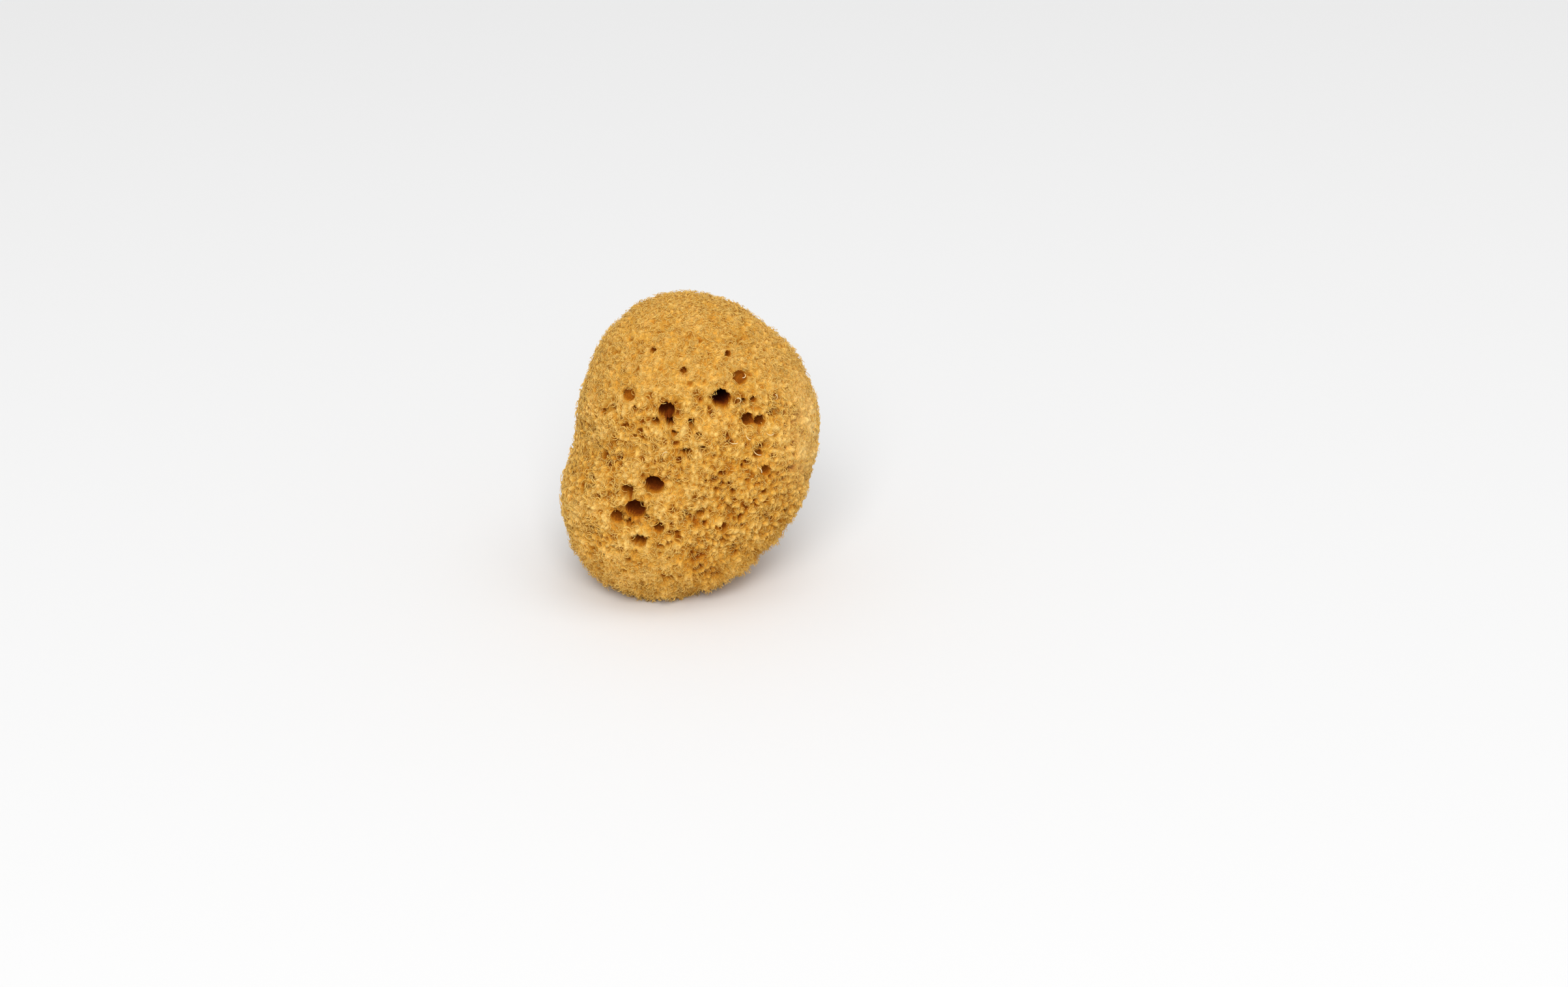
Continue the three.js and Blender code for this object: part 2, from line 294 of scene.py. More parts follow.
def nearest_spots(points, spacing, seed):
    """One spot is scattered in each cube of a grid. For each point: the nearest spot's distance and
    the second nearest's, in spacings, and the nearest one's cell and place."""
    grid = points / spacing
    home = np.floor(grid)
    nearest = np.full(len(points), np.inf)
    second = nearest.copy()
    cells = np.zeros_like(points)
    places = np.zeros_like(points)
    for step in itertools.product((-1, 0, 1), repeat=3):
        cell = home + step
        spot = cell + 0.08 + 0.84 * hashed(cell, seed)
        away = np.linalg.norm(spot - grid, axis=1)
        nearer = away < nearest
        second = np.where(nearer, nearest, np.minimum(second, away))
        nearest = np.where(nearer, away, nearest)
        cells[nearer] = cell[nearer]
        places[nearer] = spot[nearer] * spacing
    return nearest, second, cells, places


def pore_share(surface):
    """How far each place on the surface is in a pore, from 0 to 1. They lie at scattered spots."""
    away, _, cells, _ = nearest_spots(surface, PORE_SPACING, 9.3)
    reach = PORE_RADIUS * (0.6 + 0.9 * hashed(cells, 2.2)[:, 0]) / PORE_SPACING
    return 1 - smoothstep(0.5, 1.4, away / reach)


def soft_noise(points, size, seed):
    """A smooth field from about -1 to 1 with lumps of a size: sines along scattered directions."""
    ways = spiral_directions(7)
    phase = np.arange(7) * 2.4 + seed
    bent = points + 0.35 * size * np.sin(points[:, [1, 2, 0]] / size * 1.9 + seed)
    return np.sin(bent @ ways.T * (2.2 / size) + phase).sum(axis=1) / 2.65


def patch(body, across, up, wide, tall):
    """1 at a place on the front, fading out over its reach."""
    x, y, z = body.T
    return np.exp(-(((x - across) / wide) ** 2) - ((y - up) / tall) ** 2) * smoothstep(-2, 3, z)


# Meshes.

def ball_grid(cuts):
    """A cube's surface cut into quads, as directions from its centre: each coordinate is the tangent
    of an even angle, stretched to the body's proportions. Faces share their edges' points."""
    k = np.arange(cuts + 1)
    u, v = (g.ravel() for g in np.meshgrid(k, k, indexing="ij"))
    corner = (k[:-1, None] * (cuts + 1) + k[None, :-1]).ravel()
    quad = np.stack([corner, corner + cuts + 1, corner + cuts + 2, corner + 1], axis=1)
    places, quads = [], []
    for axis, side in itertools.product(range(3), (0, cuts)):
        place = np.empty((len(u), 3), int)
        place[:, axis] = side
        place[:, (axis + 1) % 3] = u
        place[:, (axis + 2) % 3] = v
        start = len(places) * len(u)
        quads.append((quad if side else quad[:, ::-1]) + start)
        places.append(place)
    shared, which = np.unique(np.concatenate(places), axis=0, return_inverse=True)
    cube = np.tan((shared / cuts - 0.5) * math.pi / 2)
    return unit(cube * BODY_STRETCH), which.ravel()[np.concatenate(quads)]


def point_normals(points, quads):
    """The mean of the normals of the quads round each point."""
    a, b, c, d = (points[quads[:, k]] for k in range(4))
    across = np.cross(c - a, d - b)
    total = np.zeros_like(points)
    for k in range(4):
        for axis in range(3):
            total[:, axis] += np.bincount(quads[:, k], across[:, axis], len(points))
    return unit(total)


def mesh_piece(name, points, faces, **values):
    """A piece made of points in millimetres, in part axes, and faces of equally many corners. Each
    further array becomes an attribute of its points."""
    mesh = bpy.data.meshes.new(name)
    corners = faces.shape[1]
    mesh.vertices.add(len(points))
    mesh.vertices.foreach_set("co", (points * MM).astype(np.float32).ravel())
    mesh.loops.add(faces.size)
    mesh.loops.foreach_set("vertex_index", faces.astype(np.int32).ravel())
    mesh.polygons.add(len(faces))
    mesh.polygons.foreach_set("loop_start", np.arange(len(faces), dtype=np.int32) * corners)
    mesh.polygons.foreach_set("use_smooth", np.ones(len(faces), bool))
    for key, value in values.items():
        attribute = mesh.attributes.new(key, "FLOAT", "POINT")
        attribute.data.foreach_set("value", value.astype(np.float32))
    mesh.update(calc_edges=True)
    mesh.validate()
    piece = bpy.data.objects.new(name, mesh)
    bpy.context.scene.collection.objects.link(piece)
    return piece


# Holes.

def body_normal(direction):
    """The surface's outward normal in one direction, from two short steps beside it."""
    step = 0.05
    apart = np.array([0.0, 0, 1]) if abs(direction[2]) < 0.7 else np.array([1.0, 0, 0])
    side = unit(np.cross(apart, direction))
    other = np.cross(direction, side)
    near = unit(direction + step * np.array([side, -side, other, -other]))
    spot = near * body_radius(near)[:, None]
    normal = unit(np.cross(spot[0] - spot[1], spot[2] - spot[3]))
    return normal if normal @ direction > 0 else -normal


def all_holes():
    """Each hole's mouth on the surface, outward axis, radius and depth, in body axes, on the front, the
    back and the sides. The axis tips down, so that the hole rises as it goes in."""
    found = [
        (face_direction(1, across, up), radius, depth)
        for across, up, radius, depth in FRONT_HOLES
    ]
    for across, up, holes in BACK_CLUSTERS:
        for k in range(holes):
            away = CLUSTER_SPREAD * math.sqrt(k)
            aside = across + away * math.cos(k * GOLDEN_ANGLE)
            above = up + CLUSTER_STRETCH * away * math.sin(k * GOLDEN_ANGLE)
            radius = CLUSTER_RADII[k % len(CLUSTER_RADII)]
            found.append((face_direction(-1, aside, above), radius, radius * DEPTH_PER_RADIUS))
    for k, direction in enumerate(spiral_directions(LONE_HOLES)):
        radius = LONE_RADII[k % len(LONE_RADII)]
        if direction[2] < FRONT_LIMIT:
            found.append((direction, radius, radius * DEPTH_PER_RADIUS))
    holes = []
    for direction, radius, depth in found:
        mouth = direction * body_radius(direction[None])[0]
        if to_part(mouth[None])[0, 2] > LOWEST_HOLE:
            axis = unit(body_normal(direction) - np.array([0, HOLE_RISE, 0]))
            holes.append((mouth, axis, radius, depth))
    return holes


def bore(points, surface, mouth, axis, radius, depth, ragged):
    """Sinks one hole into the skin. A point at a share t of the rim's radius goes to the bore's wall
    for t from FLOOR_SHARE to 1, deeper as t falls, and to its floor below that. Returns the new
    points, how far each is into the hole and how near to its rim, from 0 to 1. Shallow holes count as
    less far in, because more light reaches their floors."""
    from_mouth = surface - mouth
    along = from_mouth @ axis
    aside = from_mouth - along[:, None] * axis
    away = np.linalg.norm(aside, axis=1)
    t = away / (radius * (1 + RAGGED * ragged) * RIM_SWELL + RIM_EXTRA)
    near = (t < 1.6) & (along > -4) & (along < 3)
    outward = aside / np.maximum(away, 1e-6)[:, None]
    inside = np.clip(1 - t, 0, 1)
    wall = smoothstep(0, 0.55, inside)
    width = radius * (1.05 - THROAT_NARROWING * wall) * np.minimum(t / FLOOR_SHARE, 1)
    sunk = -depth * wall - 0.45 * smoothstep(1.45, 0.8, t)
    bored = mouth + outward * width[:, None] + axis * (sunk - 0.4)[:, None]
    lip = points - axis * (LIP_DROP * smoothstep(1.6, 1.0, t))[:, None]
    blend = smoothstep(1.12, 0.92, t)[:, None]
    moved = lip * (1 - blend) + bored * blend
    sunk_share = np.where(near, smoothstep(1.15, 0.75, t), 0) * min(1, 0.6 + 0.045 * depth)
    rim = np.where(np.abs(along) < 3, smoothstep(RIM_REACH, 0, away - RIM_SWELL * radius), 0)
    return np.where(near[:, None], moved, points), sunk_share, rim


# The skin.

def regions(surface):
    """How far each place, from 0 to 1, is in the felted dome at the top, the knobbed lower right, the
    ribbed right side, the fine fuzz above the base, the streaked upper left side, whose fibres run
    upwards, and the paler right side, whose paleness is a painted sheen."""
    x, y, _ = surface.T
    wander = WANDER * soft_noise(surface, WANDER_SIZE, 1)
    return {
        "dome": smoothstep(*DOME_UP, y + wander),
        "knobbed": smoothstep(*KNOBBED_ACROSS, x + 2 * wander) * smoothstep(*KNOBBED_UP, y + wander),
        "ribbed": patch(surface, *RIBBED_PATCH),
        "fuzzy": smoothstep(*FUZZY_UP, y + wander),
        "streaked": smoothstep(*STREAKED_ACROSS, x + 0.5 * wander) * smoothstep(*STREAKED_UP, y),
        "pale": smoothstep(*PALE_ACROSS, x + 0.5 * wander) * smoothstep(*PALE_REACH, np.abs(y - PALE_UP)),
    }


def tuft_space(surface):
    """Places on the surface moved a little, so that the tufts lie unevenly."""
    return surface + 0.35 * np.stack([soft_noise(surface, 1.6, seed) for seed in (3, 4, 5)], axis=1)


def sponge_skin():
    """The skin's points, quads and fields. The depth below the body's surface is least on tufts,
    which stand at scattered spots, and greatest in the gaps between them and in the pores and wide
    dimples, which lie at other spots. Holes are bored, and the base is flat with pores going up into
    it. Its colour's level is painted shade: it falls with that depth, and a little more on the dome,
    the lower right and the skin above the base."""
    direction, quads = ball_grid(SKIN_CUTS)
    surface = direction * body_radius(direction)[:, None]
    normal = point_normals(surface, quads)
    skin = regions(surface)

    tuft, next_tuft, _, _ = nearest_spots(tuft_space(surface), TUFT_SPACING, 1.7)
    knob = 1 - smoothstep(0.1, 0.75, tuft)
    crest = smoothstep(0.0, 0.35, next_tuft - tuft)
    small, _, _, _ = nearest_spots(surface, SMALL_TUFT_SPACING, 5.1)
    fine = 1 - smoothstep(0.1, 0.8, small)
    pored = pore_share(surface)
    dimple, _, _, _ = nearest_spots(surface, DIMPLE_SPACING, 3.3)
    dimpled = 1 - smoothstep(0, 1, dimple * DIMPLE_SPACING / DIMPLE_RADIUS)

    rib = 0.5 + 0.5 * np.sin(surface[:, 1] * 2 * math.pi / RIB_SPACING + 1.8 * soft_noise(surface, 4, 6))
    height = TUFT_SHARE * knob + CREST_SHARE * crest + SMALL_TUFT_SHARE * fine
    height += 0.5 * skin["ribbed"] * (rib - height)
    tall = TUFT_HEIGHT * (1 - 0.35 * skin["dome"] - 0.4 * skin["fuzzy"] + 0.15 * skin["knobbed"])
    depth = TUFT_TOP + tall * (1 - height) * (1 - 0.4 * skin["pale"])
    softer = (1 - 0.4 * skin["pale"]) * (1 - 0.35 * skin["dome"])
    depth += (PORE_DEPTH * pored + DIMPLE_DEPTH * dimpled) * softer
    depth += SWELLING_HEIGHT * soft_noise(surface, SWELLING_SIZE, 8) * (1 - 0.5 * skin["dome"])
    points = surface - normal * depth[:, None]
    # painted shade: the dome, the lower right and the skin above the base are drawn darker
    painted_shade = 0.1 * skin["dome"] + 0.12 * skin["fuzzy"] + 0.08 * skin["knobbed"]
    level = np.clip(1.15 - depth / DARKEST_DEPTH - painted_shade, 0, 1)

    holed = np.zeros(len(points))
    rim = np.zeros(len(points))
    ragged = soft_noise(surface, 1.1, 11)
    holes = all_holes()
    for mouth, axis, radius, deep in holes:
        points, inside, beside = bore(points, surface, mouth, axis, radius, deep, ragged)
        holed = np.maximum(holed, inside)
        rim = np.maximum(rim, beside)

    placed = to_part(points)
    flat = to_part(surface)[:, 2]
    gap = 1 - smoothstep(0.2, 0.5, next_tuft - tuft)
    base_pore = np.maximum(pored, 0.5 * gap)
    up = BASE_PORE_DEPTH * base_pore * smoothstep(0, -1.2, flat)
    placed[:, 2] = np.where(flat < 0, up, np.maximum(placed[:, 2], 0))
    comb = np.outer(skin["ribbed"] + 0.7 * skin["fuzzy"], [1, 0, 0])
    comb += np.outer(skin["streaked"], [0, 0, 1])
    skin.update(
        points=placed,
        surface=surface,
        normal=turned_to_part(normal),
        quads=quads,
        level=level,
        holed=holed,
        rim=rim,
        pored=pored,
        knob=knob,
        comb=comb,
        cut=smoothstep(0.25, -0.25, flat),
        mouths=to_part(np.array([hole[0] for hole in holes])),
        axes=turned_to_part(np.array([hole[1] for hole in holes])),
        radii=np.array([hole[2] for hole in holes]),
    )
    return skin


# The fibres.

def steps_along(rings):
    """How far along a fibre its rings are, from 0 to 1, and its tip."""
    return np.append(np.linspace(0, BLUNT, rings), 1)[:, None, None]


def arcs(rings, ahead, aside, normal, length, turn, rise):
    """Each fibre's line from its root: L sin(a t) / a ahead and L (1 - cos(a t)) / a aside, with a rise
    of rise t (2 - t), for t from 0 to 1, where L is its length and a its turn."""
    t = steps_along(rings)
    flat = ahead * np.sin(turn * t) / turn + aside * (1 - np.cos(turn * t)) / turn
    return flat * length + normal * rise * t * (2 - t)


def fibre_piece(name, skin, seed, weight):
    """Thin fibres rooted at random over the skin, in proportion to a weight. Those of one tuft head
    and turn nearly the same way and climb towards its top, and in some regions they are combed one
    way. Most of those that would hang over a hole or a pore are short."""
    random = np.random.default_rng(seed)
    count, rings = FIBRES, FIBRE_RINGS
    quads = skin["quads"]
    a, b, c, d = (skin["points"][quads[:, k]] for k in range(4))
    area = 0.5 * np.linalg.norm(np.cross(c - a, d - b), axis=1)
    share = np.cumsum(area * weight[quads].mean(axis=1))
    chosen = quads[np.searchsorted(share, random.random(count) * share[-1])]
    s, t = random.random((2, count))
    mix = np.stack([(1 - s) * (1 - t), s * (1 - t), s * t, (1 - s) * t], axis=1)

    def at(field):
        """A field's values at the roots, from the corners of the quads that they are on."""
        return np.einsum("nk,nk...->n...", mix, field[chosen])

    normal = unit(at(skin["normal"]))
    root = at(skin["points"]) - ROOT_DEPTH * normal
    surface = at(skin["surface"])
    moved = tuft_space(surface)
    _, _, cells, places = nearest_spots(moved, TUFT_SPACING, 1.7)
    heading = hashed(cells, 4.4) - 0.5 + 0.7 * random.uniform(-0.5, 0.5, (count, 3))
    heading += (0.7 + 0.5 * at(skin["knobbed"]))[:, None] * turned_to_part(places - moved)
    heading += COMBED * at(skin["comb"])
    ahead = unit(heading - (heading * normal).sum(axis=1, keepdims=True) * normal)
    aside = np.cross(normal, ahead)
    way = np.where(hashed(cells, 7.7)[:, 0] < 0.5, -1, 1) * np.where(random.random(count) < 0.2, -1, 1)
    turn = (way * random.uniform(1.2, 5.0, count))[:, None]
    reach = at(skin["reach"])
    long = (FIBRE_LENGTH * random.uniform(0.5, 1.2, count) * reach)[:, None]
    stand = (at(skin["rise"]) * random.uniform(0.4, 1.5, count))[:, None]

    arc = arcs(rings, ahead, aside, normal, long, turn, stand)
    for mouth, axis, radius in zip(skin["mouths"], skin["axes"], skin["radii"]):
        from_mouth = root + arc[-1] - mouth
        out = from_mouth @ axis
        away = np.linalg.norm(from_mouth - out[:, None] * axis, axis=1)
        over = (away < radius) & (np.abs(out) < 3) & (random.random(count) < TRIMMED_SHARE)
        arc[:, over] *= 0.3
    over = (pore_share(surface + turned_to_body(arc[-1])) > 0.4) & (random.random(count) < TRIMMED_SHARE)
    arc[:, over] *= 0.4
    width = FIBRE_WIDTH * random.uniform(0.6, 1.5, count) * (0.5 + 0.5 * reach)
    return tube_piece(name, root + arc, normal, width, random.random(count), at(skin["level"]))


def hook_piece():
    """The pale hooks: thicker fibres at their own places, which arch over the surface."""
    across, up, length, start, turn = np.array(HOOKS, float).T
    direction = np.array([face_direction(1, x, y) for x, y in zip(across, up)])
    place = direction * body_radius(direction)[:, None]
    normal = np.array([body_normal(way) for way in direction])
    start, turn = np.radians(start), np.radians(turn)
    flat = np.stack([np.cos(start), np.sin(start), np.zeros(len(start))], axis=1)
    ahead = unit(flat - (flat * normal).sum(axis=1, keepdims=True) * normal)
    aside = np.cross(normal, ahead)
    place, ahead, aside, normal = to_part(place), *(turned_to_part(v) for v in (ahead, aside, normal))
    stand = np.full((len(start), 1), HOOK_RISE)
    arc = arcs(HOOK_RINGS, ahead, aside, normal, length[:, None], turn[:, None], stand)
    even = np.ones(len(start))
    return tube_piece("hooks", place - 3 * ROOT_DEPTH * normal + arc, normal, HOOK_WIDTH * even, even, even)


def tube_piece(name, line, normal, width, tone, level):
    """Three-sided tubes along lines of points, one point a ring and the last for the blunt tip."""
    rings, count = len(line) - 1, len(tone)
    t = steps_along(rings)[:rings]
    tangent = unit(np.gradient(line, axis=0))
    across = unit(np.cross(tangent, normal))
    through = np.cross(tangent, across)
    wide = 0.5 * width[:, None] * (0.6 + 0.4 * np.sin(math.pi * t))
    angle = 2 * math.pi / 3 * np.arange(3)[:, None, None, None]
    tube = line[:rings] + wide * (across[:rings] * np.cos(angle) + through[:rings] * np.sin(angle))
    tube = tube.transpose(2, 1, 0, 3).reshape(count, rings * 3, 3)
    points = np.concatenate([tube, line[-1][:, None, :]], axis=1)
    points[..., 2] = np.maximum(points[..., 2], 0.02)

    faces = [[0, 2, 1]]
    for corner in range(3):
        beside = (corner + 1) % 3
        for ring in range(0, 3 * (rings - 1), 3):
            faces.append([ring + corner, ring + beside, ring + beside + 3])
            faces.append([ring + corner, ring + beside + 3, ring + corner + 3])
        faces.append([3 * (rings - 1) + corner, 3 * (rings - 1) + beside, 3 * rings])
    each = 3 * rings + 1
    faces = np.array(faces) + each * np.arange(count)[:, None, None]
    along = np.append(np.repeat(t.ravel(), 3), 1)
    return mesh_piece(
        name,
        points.reshape(-1, 3),
        faces.reshape(-1, 3),
        along=np.tile(along, count),
        tone=np.repeat(tone, each),
        level=np.repeat(level, each),
    )


def fleck_piece():
    """Every fleck as a stretched octahedron that lies on the fibres."""
    points = []
    for across, up, length, width, angle in FLECKS:
        direction = face_direction(1, across, up)
        normal = body_normal(direction)
        place = direction * body_radius(direction[None])[0] + FLECK_RISE * normal
        turn = math.radians(angle)
        flat = np.array([math.cos(turn), math.sin(turn), 0])
        along = unit(flat - (flat @ normal) * normal)
        arms = 0.5 * np.array([length * along, width * np.cross(normal, along), FLECK_HEIGHT * normal])
        points.append(to_part(np.concatenate([place + arms, place - arms])))
    faces = []
    for signs in itertools.product((0, 3), repeat=3):
        a, b, c = signs[0], 1 + signs[1], 2 + signs[2]
        faces.append([a, b, c] if sum(signs) % 2 == 0 else [a, c, b])
    every = np.array(faces) + 6 * np.arange(len(FLECKS))[:, None, None]
    return mesh_piece("flecks", np.concatenate(points), every.reshape(-1, 3))


# Materials.

def linear(hex_colour):
    """An sRGB hex colour as linear red, green, blue and alpha."""
    shares = [int(hex_colour[k:k + 2], 16) / 255 for k in (1, 3, 5)]
    return [s / 12.92 if s <= 0.04045 else ((s + 0.055) / 1.055) ** 2.4 for s in shares] + [1.0]


def add_node(material, kind, settings=None, links=None):
    """Adds a node. Settings are its own properties. Links give its inputs, by name or number, a value
    each, or the output of another node as (node, output)."""
    made = material.node_tree.nodes.new(kind)
    for key, value in (settings or {}).items():
        setattr(made, key, value)
    for key, value in (links or {}).items():
        if isinstance(value, tuple) and isinstance(value[0], bpy.types.Node):
            material.node_tree.links.new(value[0].outputs[value[1]], made.inputs[key])
        else:
            made.inputs[key].default_value = value
    return made


def colour_stops(bar, stops):
    """Gives a colour ramp its stops: place and sRGB hex colour."""
    while len(bar.elements) < len(stops):
        bar.elements.new(0.5)
    for element, (place, colour) in zip(bar.elements, stops):
        element.position = place
        element.color = linear(colour)


def new_material(name):
    """A material with no nodes yet."""
    material = bpy.data.materials.new(name)
    material.use_nodes = True
    material.node_tree.nodes.clear()
    return material


def spongin_felt():
    """Dried spongin, the horny protein of a bath sponge, felted by growth. It gives the eye a matte
    golden felt with pale tangled threads in loops of about 1 mm. Painted shade turns it orange to
    brown down in the gaps and holes, where little light reaches and what does has bounced from wall
    to wall, and darkens the felt between the threads; a painted sheen makes it paler on the right
    side. The threads are drawn 0.1 mm wide, coarser than they grow, so that they show."""
    m = new_material("spongin_felt")
    place = add_node(m, "ShaderNodeTexCoord")
    level = add_node(m, "ShaderNodeAttribute", {"attribute_name": "level"})
    holed = add_node(m, "ShaderNodeAttribute", {"attribute_name": "holed"})
    pale = add_node(m, "ShaderNodeAttribute", {"attribute_name": "pale"})
    # painted shade: the level's ramp runs from brown in the gaps to pale gold on the tufts
    colour = add_node(m, "ShaderNodeValToRGB", None, {"Fac": (level, "Fac")})
    colour_stops(colour.color_ramp, [
        (0, "#984C08"), (0.2, "#C47A1C"), (0.45, "#E2A038"), (0.7, "#F4BA52"), (1, "#FFD076"),
    ])
    within = add_node(m, "ShaderNodeMapRange", None, {"Value": (holed, "Fac"), "From Max": 0.5})
    # painted shade: a hole's wall runs from gold at its rim to near black-brown far inside
    inner = add_node(m, "ShaderNodeValToRGB", None, {"Fac": (holed, "Fac")})
    colour_stops(inner.color_ramp, [(0, "#D9A04A"), (0.55, "#D2841C"), (0.8, "#94440A"), (1, "#4A1400")])
    walled = add_node(m, "ShaderNodeMix", {"data_type": "RGBA"}, {
        0: (within, 0), 6: (colour, "Color"), 7: (inner, "Color"),
    })
    # painted sheen: the right side is mixed towards pale cream
    pale_share = add_node(m, "ShaderNodeMath", {"operation": "MULTIPLY"}, {0: (pale, "Fac"), 1: 0.4})
    paler = add_node(m, "ShaderNodeMix", {"data_type": "RGBA"}, {
        0: (pale_share, 0), 6: (walled, 2), 7: linear("#FFD890"),
    })
    threads = []
    for scale in (800.0, 1050.0, 1400.0):
        noise = add_node(m, "ShaderNodeTexNoise", None, {
            "Vector": (place, "Object"), "Scale": scale, "Detail": 1.0, "Distortion": 0.6,
        })
        from_middle = add_node(m, "ShaderNodeMath", {"operation": "SUBTRACT"}, {0: (noise, "Fac"), 1: 0.5})
        away = add_node(m, "ShaderNodeMath", {"operation": "ABSOLUTE"}, {0: (from_middle, 0)})
        threads.append(add_node(m, "ShaderNodeMapRange", None, {
            "Value": (away, 0), "From Min": 0.0, "From Max": 0.045, "To Min": 1.0, "To Max": 0.0,
        }))
    pair = add_node(m, "ShaderNodeMath", {"operation": "MAXIMUM"}, {0: (threads[0], 0), 1: (threads[1], 0)})
    tangle = add_node(m, "ShaderNodeMath", {"operation": "MAXIMUM"}, {0: (pair, 0), 1: (threads[2], 0)})
    # the threads' own paler colour, with painted shade darkening the felt between them
    shown = add_node(m, "ShaderNodeMapRange", None, {
        "Value": (tangle, 0), "From Min": 0.0, "From Max": 1.0, "To Min": 0.68, "To Max": 1.0,
    })
    mottle = add_node(m, "ShaderNodeTexNoise", None, {
        "Vector": (place, "Object"), "Scale": 170.0, "Detail": 3.0,
    })
    shift = add_node(m, "ShaderNodeMapRange", None, {
        "Value": (mottle, "Fac"), "From Min": 0.3, "From Max": 0.7, "To Min": 0.9, "To Max": 1.0,
    })
    brightness = add_node(m, "ShaderNodeMath", {"operation": "MULTIPLY"}, {0: (shown, 0), 1: (shift, 0)})
    toned = add_node(m, "ShaderNodeHueSaturation", None, {"Value": (brightness, 0), "Color": (paler, 2)})
    bump = add_node(m, "ShaderNodeBump", None, {"Strength": 0.5, "Distance": 0.0001, "Height": (tangle, 0)})
    shader = add_node(m, "ShaderNodeBsdfPrincipled", None, {
        "Base Color": (toned, "Color"), "Roughness": 0.9, "Normal": (bump, "Normal"),
        "Specular IOR Level": 0.1,
    })
    add_node(m, "ShaderNodeOutputMaterial", None, {"Surface": (shader, "BSDF")})
    return m


def spongin_fibre(name, stops):
    """The same spongin grown as thin free fibres, in its own gold or bleached by the sun. It gives the
    eye pale curls, paler towards their tips, and painted shade makes those that root in the gaps
    darker; a grain of 0.15 mm runs along them."""
    m = new_material(name)
    place = add_node(m, "ShaderNodeTexCoord")
    along = add_node(m, "ShaderNodeAttribute", {"attribute_name": "along"})
    tone = add_node(m, "ShaderNodeAttribute", {"attribute_name": "tone"})
    level = add_node(m, "ShaderNodeAttribute", {"attribute_name": "level"})
    colour = add_node(m, "ShaderNodeValToRGB", None, {"Fac": (along, "Fac")})
    colour_stops(colour.color_ramp, stops)
    shift = add_node(m, "ShaderNodeMapRange", None, {"Value": (tone, "Fac"), "To Min": 0.88, "To Max": 1.0})
    # painted shade: fibres that root low in the gaps are darker
    sunk = add_node(m, "ShaderNodeMapRange", None, {"Value": (level, "Fac"), "To Min": 0.7, "To Max": 1.0})
    grain = add_node(m, "ShaderNodeTexNoise", None, {
        "Vector": (place, "Object"), "Scale": 6500.0, "Detail": 2.0,
    })
    grained = add_node(m, "ShaderNodeMapRange", None, {
        "Value": (grain, "Fac"), "From Min": 0.3, "From Max": 0.7, "To Min": 0.88, "To Max": 1.0,
    })
    first = add_node(m, "ShaderNodeMath", {"operation": "MULTIPLY"}, {0: (shift, 0), 1: (sunk, 0)})
    brightness = add_node(m, "ShaderNodeMath", {"operation": "MULTIPLY"}, {0: (first, 0), 1: (grained, 0)})
    toned = add_node(m, "ShaderNodeHueSaturation", None, {
        "Value": (brightness, 0), "Color": (colour, "Color"),
    })
    bump = add_node(m, "ShaderNodeBump", None, {"Strength": 0.3, "Distance": 0.00005, "Height": (grain, 0)})
    shader = add_node(m, "ShaderNodeBsdfPrincipled", None, {
        "Base Color": (toned, "Color"), "Roughness": 0.7, "Specular IOR Level": 0.15,
        "Normal": (bump, "Normal"),
    })
    add_node(m, "ShaderNodeOutputMaterial", None, {"Surface": (shader, "BSDF")})
    return m


def plain_material(name, colour, roughness):
    """An even surface of one colour. It gives the eye the white paper that the sponge stands on, and
    the olive-brown scraps of weed on its front."""
    m = new_material(name)
    shader = add_node(m, "ShaderNodeBsdfPrincipled", None, {
        "Base Color": linear(colour), "Roughness": roughness,
    })
    add_node(m, "ShaderNodeOutputMaterial", None, {"Surface": (shader, "BSDF")})
    return m


# The sponge.

skin = sponge_skin()
open_air = smoothstep(0.3, 0, skin["holed"]) * (1 - skin["cut"]) * (1 - 0.9 * skin["pored"])
skin["rise"] = FIBRE_RISE * (1 + 0.8 * skin["dome"] + 1.2 * skin["fuzzy"])
skin["reach"] = 1 - 0.3 * skin["knobbed"] - 0.25 * skin["dome"] - 0.4 * skin["fuzzy"] - 0.25 * skin["pale"]
skin["reach"] *= 1 - 0.5 * skin["rim"]
all_over = open_air * (0.45 + 0.55 * skin["knob"]) * (1 + 0.6 * skin["dome"] + 0.6 * skin["fuzzy"])

skin_piece = mesh_piece(
    "sponge_skin", skin["points"], skin["quads"],
    level=skin["level"], holed=skin["holed"], pale=skin["pale"],
)
skin_piece.data.materials.append(spongin_felt())
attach(skin_piece, "root")
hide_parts("sponge")

fibre = spongin_fibre(
    "spongin_fibre", [(0, "#F2AE3C"), (0.3, "#FCC456"), (0.7, "#FFD270"), (1, "#FFDA82")],
)
for k in range(1, FIBRE_PIECES + 1):
    piece = fibre_piece(f"fibres_{k}", skin, 40 + k, all_over)
    piece.data.materials.append(fibre)
    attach(piece, "root")

hooks = hook_piece()
hooks.data.materials.append(spongin_fibre(
    "spongin_fibre_bleached", [(0, "#EEBA68"), (0.35, "#FAD998"), (1, "#FFEBC0")],
))
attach(hooks, "root")

flecks = fleck_piece()
flecks.data.materials.append(plain_material("dried_seaweed_scrap", "#45431C", 0.8))
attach(flecks, "root")


# The stage, the light and the camera.

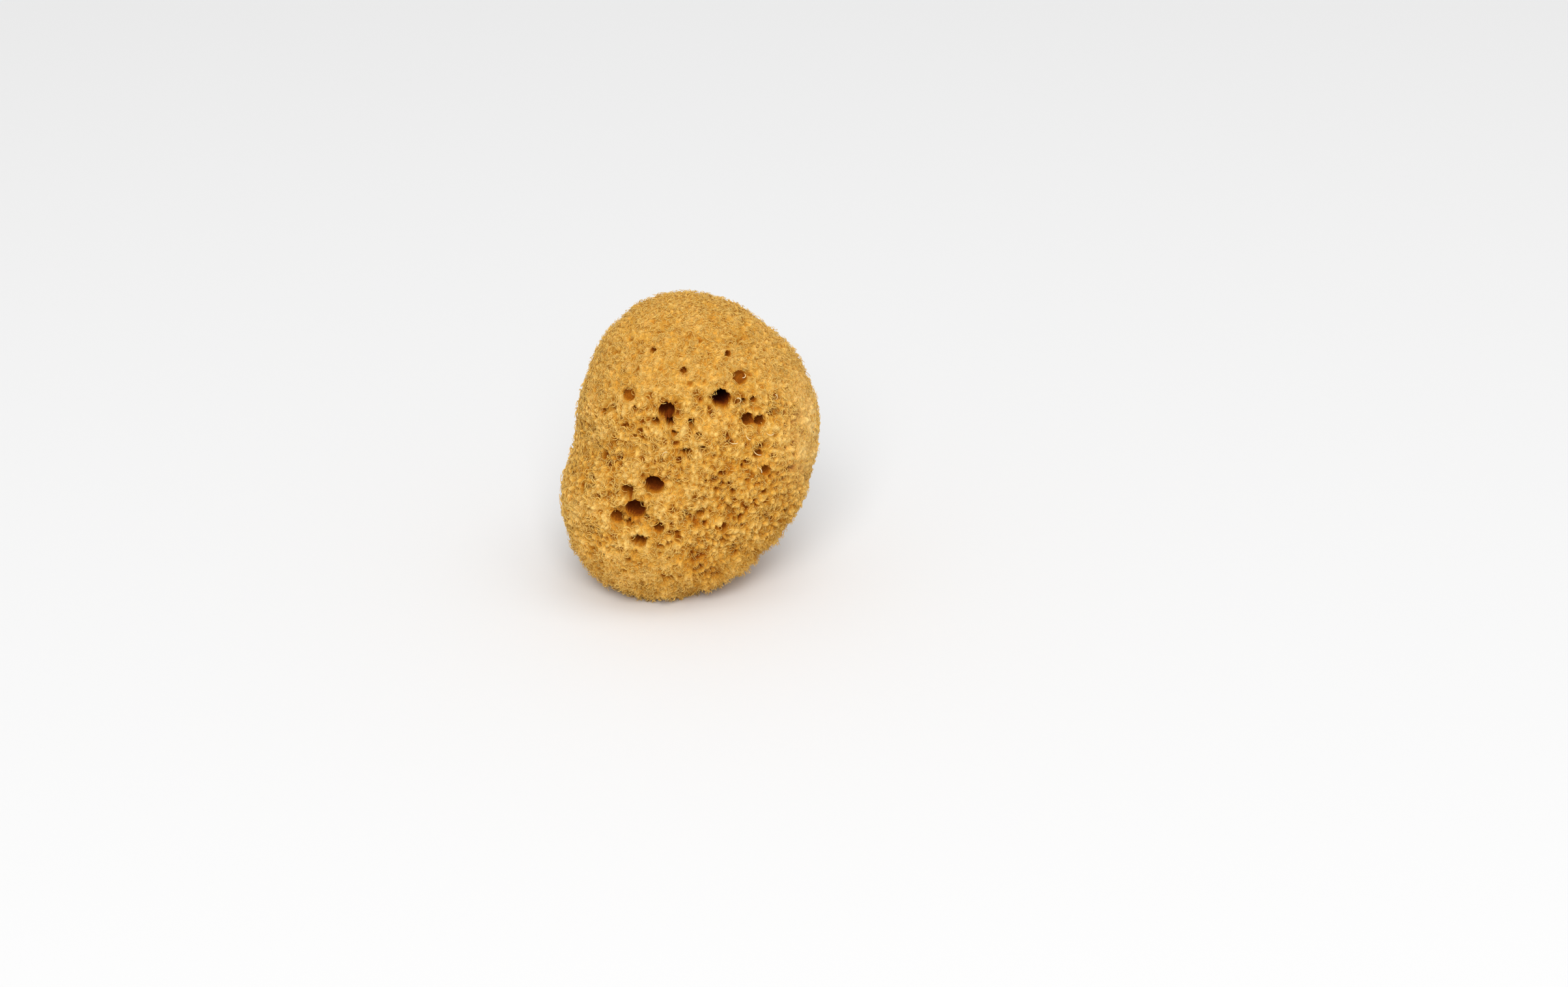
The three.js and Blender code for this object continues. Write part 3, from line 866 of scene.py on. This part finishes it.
STAGE_WIDTH = 6.0  # metres
floor_mesh = bpy.data.meshes.new("floor")
half = STAGE_WIDTH / 2
corners = [(-half, -half, 0), (half, -half, 0), (half, half, 0), (-half, half, 0)]
floor_mesh.from_pydata(corners, [], [(0, 1, 2, 3)])
floor = bpy.data.objects.new("floor", floor_mesh)
floor.data.materials.append(plain_material("white_paper", "#EBEBEB", 0.8))
bpy.context.scene.collection.objects.link(floor)

world = bpy.data.worlds.new("white_room")
world.use_nodes = True
world.node_tree.nodes["Background"].inputs["Color"].default_value = (1, 1, 1, 1)
world.node_tree.nodes["Background"].inputs["Strength"].default_value = 0.56
bpy.context.scene.world = world


def soft_light(name, place, aim, size, watts):
    """A square light of a size in metres, turned from its place towards its aim."""
    lamp = bpy.data.lights.new(name, "AREA")
    lamp.shape = "SQUARE"
    lamp.size = size
    lamp.energy = watts
    holder = bpy.data.objects.new(name, lamp)
    holder.location = place
    holder.rotation_euler = (Vector(aim) - Vector(place)).to_track_quat("-Z", "Y").to_euler()
    bpy.context.scene.collection.objects.link(holder)


soft_light("softbox_above", (0.4, -0.2, 1.8), (0, 0, 0.02), 1.3, 6.5)
soft_light("softbox_in_front", (-0.05, -1.7, 1.5), (0, 0, 0.02), 1.2, 35.0)

ELEVATION = math.radians(26)
LENS = 85.0
SENSOR = 36.0
PHOTO_WIDTH, PHOTO_HEIGHT = 2408, 1515
PIXELS_PER_MM = 8.0
BODY_PIXEL = (1058, 690)  # where the body's centre is in the photograph

right = Vector((1, 0, 0))
up = Vector((0, math.sin(ELEVATION), math.cos(ELEVATION)))
back = Vector((0, -math.cos(ELEVATION), math.sin(ELEVATION)))
distance = LENS / SENSOR * PHOTO_WIDTH / PIXELS_PER_MM * MM
across = (BODY_PIXEL[0] - PHOTO_WIDTH / 2) / PIXELS_PER_MM * MM
above = (PHOTO_HEIGHT / 2 - BODY_PIXEL[1]) / PIXELS_PER_MM * MM
lens = bpy.data.cameras.new("camera")
lens.lens = LENS
lens.sensor_width = SENSOR
lens.clip_start, lens.clip_end = 0.01, 20
camera = bpy.data.objects.new("camera", lens)
axes = Matrix((right, up, back)).transposed().to_4x4()
body_centre = Vector(CENTRE * MM)
camera.matrix_world = Matrix.Translation(body_centre - across * right - above * up + distance * back) @ axes
bpy.context.scene.collection.objects.link(camera)
bpy.context.scene.camera = camera
bpy.context.scene.view_settings.view_transform = "Standard"
